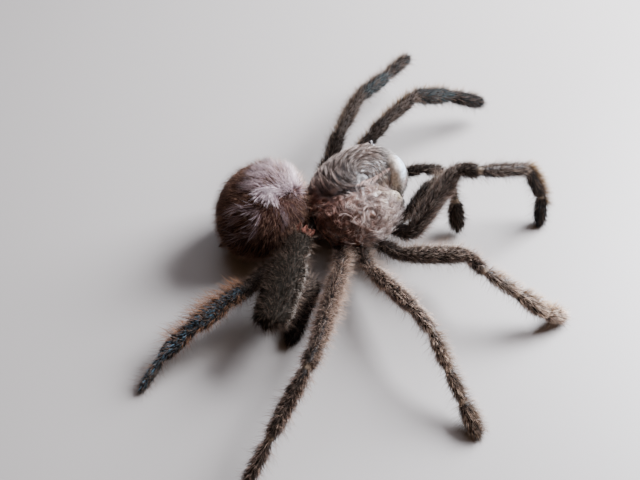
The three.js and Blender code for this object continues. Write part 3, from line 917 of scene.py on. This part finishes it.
# Long fringes: limb, way they stand, joints from and to, hairs, least and most length, palette
# The pale fringes on the sides that face up and towards the window are partly the hair's own colour
# and partly a painted rim of light through the hair
FRINGES = (
    ("leg_right_1", (0.6, -0.6, -0.3), 1.0, 2.0, 500, 1.4, 2.6, ROSE),
    ("leg_right_1", (0.8, 0.3, 0.7), 3.9, 5.3, 800, 1.4, 3.0, GOLD),
    ("leg_right_4", (0.8, 0.1, 0.45), 0.4, 5.8, 1150, 1.4, 4.0, PEACH),
    ("leg_right_4", (-0.8, -0.1, 0.3), 0.4, 5.8, 420, 1.2, 2.8, ROSE),
    ("leg_left_3", (-0.5, 0.75, 0.5), 2.1, 4.6, 420, 2.0, 5.0, RUST),
    ("leg_left_3", (0.5, -0.85, 0.1), 2.4, 4.4, 260, 1.0, 2.2, RUST),
    ("leg_left_4", (0.98, 0.2, -0.05), 0.5, 1.98, 420, 0.7, 1.5, PALE),
    ("leg_right_2", (0.3, 0.6, 0.7), 3.0, 5.6, 420, 1.6, 2.8, GOLD),
    ("leg_right_3", (0.8, 0.2, 0.5), 3.0, 6.0, 420, 1.6, 2.8, TAN),
    ("leg_left_1", (-0.3, 0.8, 0.5), 1.0, 6.0, 800, 1.4, 2.8, GOLD),
    ("leg_left_2", (-0.6, 0.5, 0.5), 1.0, 6.0, 700, 1.4, 2.6, TAN),
)
MOODS = (BROWN, DARK, TAN, TEAL, OLIVE, STEEL, BLACK, ROSE)
# How light each joint's hair is, its own colour together with painted light and shade: the near right
# legs lighter where the light falls on them, the others darker, the far left legs most, where their
# near sides lie in shade
LIMB_TONE_AND_SHADE = {
    "pedipalp_left": (0.3, 0.35, 0.35),
    "pedipalp_right": (0.2, 0.3, 0.35, 0.35, 0.35),
    "leg_right_1": (0.1, 0.34, 0.24, 0.2, 0.45, 0.22),
    "leg_right_2": (0.4, 0.8, 1.2, 1.2, 1.4, 1.7),
    "leg_right_3": (0.5, 1.7, 2.0, 1.7, 1.0, 0.9),
    "leg_right_4": (0.4, 1.0, 0.55, 0.75, 0.9, 1.0),
    "leg_left_1": (0.16, 0.1, 0.09, 0.09, 0.2, 0.25),
    "leg_left_2": (0.16, 0.1, 0.09, 0.09, 0.18, 0.2),
    "leg_left_3": (0.12, 0.18, 0.4, 0.8, 1.1, 1.5),
    "leg_left_4": (0.24, 0.24, 0.2, 0.16, 0.16, 0.16),
}


def tone_and_shade(name, joint):
    """The limb's lightness, own colour with painted light and shade, at a place along it, run straight
    from the middle of joint to joint.
    """
    steps = LIMB_TONE_AND_SHADE[name]
    return np.interp(joint, np.arange(len(steps)) + 0.5, steps)


def turned_to(normals, way, low, high):
    """0 to 1 as the cosine between a normal and a way goes from low to high, by a smooth step."""
    return smoothstep(low, high, normals @ unit(np.array(way, float)))


def limb_moods(name, spec, normals, data):
    """Weights of the palettes in MOODS, in their order, on a limb: each is a sum of smooth steps of
    the place along the limb and of the way that the surface faces."""
    joint, last = data[:, 3], len(spec[1])
    up = normals[:, 2]
    sole = SOLE_WAY.get(name, (0, 0, -1))
    brown, dark, tan = 1.2 + 0 * up, 0.35 - 0.4 * up, 0.35
    teal, olive, steel, black, rose = 0.0, 0.0, 0.0, 0.0, 0.0
    if name.startswith("leg_right"):
        black = 5 * smoothstep(0.8, 0.1, joint)
    if name in ("leg_right_2", "leg_right_3"):
        feet = smoothstep(last - 3.0, last - 1.6, joint)
        tan = 0.35 + 3.4 * feet * smoothstep(-0.3, 0.4, up)
    if name in ("leg_left_1", "leg_left_2"):
        outer = smoothstep(last - 2.06, last - 1.94, joint)
        foot = smoothstep(last - 1.05, last - 0.95, joint)
        near = turned_to(normals, sole, 0.0, 0.35) * outer
        teal = 6 * near * (1 - 0.75 * foot)
        black = 5 * near * foot + 1.5 * outer * turned_to(normals, sole, -0.35, 0.0)
        tan = 0.3 + 4 * smoothstep(last - 0.15, last, joint)
    if name == "leg_right_1":
        rose = 0.5 * smoothstep(2.2, 1.8, joint)
        off_top = turned_to(normals, (0.8, 0.3, 0.5), 0.75, 0.45)
        black = black + 4 * smoothstep(3.95, 4.15, joint) * off_top
        steel = 2.5 * smoothstep(4.9, 5.1, joint) * turned_to(normals, (-0.96, 0.0, 0.28), 0.2, 0.6)
    if name == "leg_right_4":
        dark = dark + 1.2
        black = black + 1.0
        rose = 0.9 * smoothstep(0.2, 0.7, normals[:, 0])
    if name == "leg_left_4":
        olive = 4 * smoothstep(2.05, 1.95, joint)
        black = 5 * smoothstep(3.8, 4.1, joint)
    if name == "leg_left_3":
        far = smoothstep(2.2, 3.0, joint)
        under = turned_to(normals, sole, 0.3, 0.7)
        steel = 24 * far * turned_to(normals, (-0.25, 0.1, 0.95), 0.5, 0.8)
        black = 4 * far * under + 1.5 * smoothstep(2.0, 1.0, joint)
        teal = 2.5 * far * under
        rose = 0.5 * far
        brown, tan = 1.2 - 0.9 * far, 0.35 - 0.25 * far
        dark = dark + 0.9
    if name == "pedipalp_right":
        steel = 1.2 * smoothstep(2.2, 1.2, joint) * turned_to(normals, (-0.7, -0.3, 0.6), 0.1, 0.6)
        black = 1.5 * smoothstep(3.8, 4.2, joint)
        olive = 1.0
    if name == "pedipalp_left":
        olive, black = 1.5, 1.5 * smoothstep(1.6, 2.2, joint)
    return [brown, dark.clip(0.05, None), tan, teal, olive, steel, black, rose]


def claws(spec):
    """Two small hooks at the limb's tip: thin circles carried ahead, and down with the square of
    the place along the hook, drawn in to a point."""
    line, tangent, *_ = limb_line(spec)
    tip, ahead = line[-2], tangent[-2]
    side = unit(np.cross(UP, ahead))
    lift = np.cross(ahead, side)
    t = np.linspace(0, 1, 7)[:, None]
    u = np.linspace(0, 2 * math.pi, 8, endpoint=False)[None, :, None]
    parts = []
    for sign in (-1, 1):
        path = tip + sign * 0.22 * side + ahead * 0.75 * t - 0.45 * UP * t ** 2 + UP * 0.15
        rings = path[:, None] + (0.13 * (1 - 0.9 * t))[:, None] * (np.cos(u) * side + np.sin(u) * lift)
        rings[..., 2] = np.maximum(rings[..., 2], 0.02)
        parts.append(closed_rings(rings)[:2])
    return merged(*parts)


def make_limb(name, spec):
    """A dark skin, on the right legs with pale rings at the bends by a bell of the distance to the
    bend, two claws, and the coat: undercoat, guard hair, bristles and fringes."""
    points, faces, data = limb_skin(spec)
    outer = 0.0 if name.startswith("leg_left") else 0.7
    joint, to_bend = data[:, 3], data[:, 4]
    pale = outer * np.exp(-(to_bend / 0.4) ** 2) * smoothstep(2.6, 2.9, joint)
    tint = blend(pale, "#1a120e", "#a8927a")
    if name == "leg_left_4":
        tint = zone_tint(tint, smoothstep(2.05, 1.95, joint), "#221d17")
    hooks, hook_faces = claws(spec)
    skin_points, skin_faces = merged((points, faces), (hooks, hook_faces))
    tint = np.vstack([tint, np.repeat(linear("#120c0a")[None], len(hooks), 0)])
    skin = LIMB_CUTICLE if name.startswith("leg_right") else VELVET_CUTICLE
    mesh_piece(f"{name}_skin", skin_points, skin_faces, skin, tint, replaces=[name], slot="leg_hair")

    # How much hair there is, and in the data's last column how long it is, less at the bends
    cover = 1 - 0.9 * pale
    if name.startswith("leg_right"):
        cover = cover * (1 - 0.75 * smoothstep(0.9, 0.4, joint))
    short = outer * np.exp(-(to_bend / 1.1) ** 2) * smoothstep(2.4, 2.7, joint)
    sleek = 0.45 * smoothstep(2.6, 3.4, joint) if name == "leg_left_3" else 0
    data = np.column_stack([data, 1 - 0.6 * short - sleek])
    area = sum(j[0] * j[3] * (1 + j[4]) / 2 for j in spec[1]) * 2 * math.pi

    roots, normals, at = scatter(points, faces, scaled(area * UNDERCOAT), cover, data)
    owner, pull = tufts(roots, 6)
    chance = 0.35 * rng.random(owner.max() + 1)[owner] + 0.65 * rng.random(len(roots))
    foot = smoothstep(len(spec[1]) - 0.3, len(spec[1]), at[:, 3])
    layers = [layer(strands(
        roots, normals, along_surface(at[:, :3], normals), between(0.9, 1.5, roots) * at[:, 5],
        0.056, between(38, 64, roots) * (1 - 0.4 * foot), bend=0.1, pull=pull, clump=0.3, steps=1),
        MOODS, limb_moods(name, spec, normals, at), chance, 0.7 * tone_and_shade(name, at[:, 3]))]
    roots, normals, at = scatter(points, faces, scaled(area * GUARD_HAIR), cover, data)
    _, pull = tufts(roots, 5)
    layers.append(layer(strands(
        roots, normals, along_surface(at[:, :3], normals), between(1.3, 2.3, roots) * at[:, 5],
        0.036, between(35, 66, roots), bend=0.15, pull=pull, clump=0.5), MOODS,
        limb_moods(name, spec, normals, at), rng.random(len(roots)),
        (1.1 if name == "leg_left_3" else 1.9) * tone_and_shade(name, at[:, 3])))
    roots, normals, at = scatter(points, faces, scaled(area * BRISTLES), None, data)
    layers.append(layer(strands(
        roots, normals, along_surface(at[:, :3], normals), between(1.6, 3.4, roots), 0.026,
        between(0, 38, roots), bend=0.08, steps=1), (RUST, PEACH, DARK), [0.7, 1.0, 0.4],
        rng.random(len(roots)), 0.22 + 0.5 * tone_and_shade(name, at[:, 3]).clip(0, 1.2)))
    layers += [fringe(name, points, faces, data, *row[1:]) for row in FRINGES if row[0] == name]
    coat(f"{name}_coat", layers, LIMB_HAIR, "leg_hair")


def fringe(name, points, faces, data, way, start, end, count, least, most, palette):
    """Long hair on the side of a limb that faces a way, between two places along it. It stands
    between the normal and that way, a little off by chance."""
    way = unit(np.array(way))
    joint = data[:, 3]
    side = turned_to(point_normals(points, faces), way, 0.45, 0.8)
    zone = smoothstep(start - 0.05, start + 0.05, joint) * smoothstep(end + 0.05, end - 0.05, joint)
    roots, normals, at = scatter(points, faces, scaled(count), side * zone + 1e-6, data)
    _, pull = tufts(roots, 5)
    return layer(strands(
        roots, unit(normals + 0.6 * way + rng.normal(size=roots.shape) * 0.3), unit(at[:, :3]),
        between(least, most, roots), 0.03, between(5, 55, roots), bend=0.12, pull=pull, clump=0.5),
        (palette, TAN), [1.0, 0.3], rng.random(len(roots)),
        0.4 + 0.5 * tone_and_shade(name, at[:, 3]).clip(0, 1.2))


# The torn membrane at the hip end of left leg 4: a ragged cuff, open to the upper right
def make_torn_membrane():
    """A cuff of two walls: rings carried out from the hip end and back inside at nine tenths, with
    waves of the sine of seven turns in their radius, and an edge torn by a product of sines."""
    root, joints = LIMBS["leg_left_4"]
    ahead = -heading(joints[0][1], joints[0][2])
    side = unit(np.cross(UP, ahead))
    lift = np.cross(ahead, side)
    u = np.linspace(0, 2 * math.pi, 72, endpoint=False)
    ragged = 1 + 0.45 * np.sin(3 * u + 0.6) * np.sin(5 * u) + 0.25 * np.sin(11 * u + 1)
    rings = []
    for inner, places in ((0, np.linspace(0, 1, 12)), (1, np.linspace(1, 0.1, 12))):
        for t in places:
            radius = (1.1 + 0.55 * t + 0.16 * np.sin(7 * u + 6 * t) * t) * (1 - 0.09 * inner)
            reach = 0.1 + 1.7 * t * ragged
            rings.append(np.array(root) + ahead * reach[:, None] + radius[:, None] * (
                1.3 * np.cos(u)[:, None] * side + np.sin(u)[:, None] * lift))
    points, faces, _ = closed_rings(np.array(rings))
    tint = blend(0.5 + 0.5 * folds(points, 0.7, 21).clip(-1, 1), "#3c1d17", "#7d4d3d")
    mesh_piece("torn_membrane", points, faces, VELVET_CUTICLE, tint, slot="leg_hair")


# Floor, light and camera. Places are in millimetres
FLOOR_HALF = 1500
AIM = (14, 0, 5)
# The window stands to the right behind the far side, so shadows fall to the near left; a faint
# sky and a warm room fill them. Each light: place, side in metres, watts, colour
LIGHTS = {
    "window": ((263, 81, 188), 0.2, 6.9, "#f3f6ff"),
    "sky": ((40, 160, 330), 0.3, 0.4, "#eef1ff"),
    "room": ((60, -240, 360), 0.5, 0.15, "#ffcfa6"),
}
# The camera looks down on the specimen, a little from behind its right side
CAMERA_TARGET = (13.2, -2.8, 0.0)
CAMERA_AZIMUTH = -12
CAMERA_ELEVATION = 48
CAMERA_DISTANCE = 200
FOCAL_PIXELS = 920
FRAME_WIDTH = 640
SENSOR = 36.0


def make_stage():
    """One pale, slightly glossy square as the floor, and a weak warm room light from all round."""
    half = FLOOR_HALF * MM
    mesh = bpy.data.meshes.new("floor")
    mesh.from_pydata([(-half, -half, 0), (half, -half, 0), (half, half, 0), (-half, half, 0)], [],
                     [(0, 1, 2, 3)])
    floor = bpy.data.objects.new("floor", mesh)
    bpy.context.scene.collection.objects.link(floor)
    material = bpy.data.materials.new("floor_pale")
    material.use_nodes = True
    shader = material.node_tree.nodes["Principled BSDF"]
    shader.inputs["Base Color"].default_value = (*linear("#aaa5a1"), 1)
    shader.inputs["Roughness"].default_value = 0.42
    mesh.materials.append(material)

    world = bpy.data.worlds.new("soft_room")
    world.use_nodes = True
    background = world.node_tree.nodes["Background"]
    background.inputs["Color"].default_value = (*linear("#e3b08c"), 1)
    background.inputs["Strength"].default_value = 0.045
    bpy.context.scene.world = world


def aim(thing, place, target):
    """Puts a light or the camera at a place, looking at a target."""
    thing.location = [float(c) * MM for c in place]
    way = Vector([float(t - p) for t, p in zip(target, place)])
    thing.rotation_euler = way.to_track_quat("-Z", "Y").to_euler()
    bpy.context.scene.collection.objects.link(thing)


def make_camera():
    """The camera stands at its distance from the target, back along its azimuth and elevation."""
    data = bpy.data.cameras.new("camera")
    data.sensor_width = SENSOR
    data.lens = SENSOR * FOCAL_PIXELS / FRAME_WIDTH
    data.clip_start = 0.005
    camera = bpy.data.objects.new("camera", data)
    a, e = math.radians(CAMERA_AZIMUTH), math.radians(CAMERA_ELEVATION)
    back = np.array([math.sin(a) * math.cos(e), -math.cos(a) * math.cos(e), math.sin(e)])
    aim(camera, np.array(CAMERA_TARGET) + CAMERA_DISTANCE * back, CAMERA_TARGET)
    bpy.context.scene.camera = camera


def make_lights():
    """Square area lights, all aimed at the middle of the specimen."""
    for name, (place, side, watts, colour) in LIGHTS.items():
        data = bpy.data.lights.new(name, "AREA")
        data.size = side
        data.energy = watts
        data.color = linear(colour)
        aim(bpy.data.objects.new(name, data), place, AIM)


make_camera()
make_lights()
make_stage()
make_abdomen()
make_cephalothorax()
make_eyes()
make_chelicera_left()
make_chelicera_right()
make_fangs()
make_waist_and_spinnerets()
make_torn_membrane()
for limb_name, limb_spec in LIMBS.items():
    make_limb(limb_name, limb_spec)
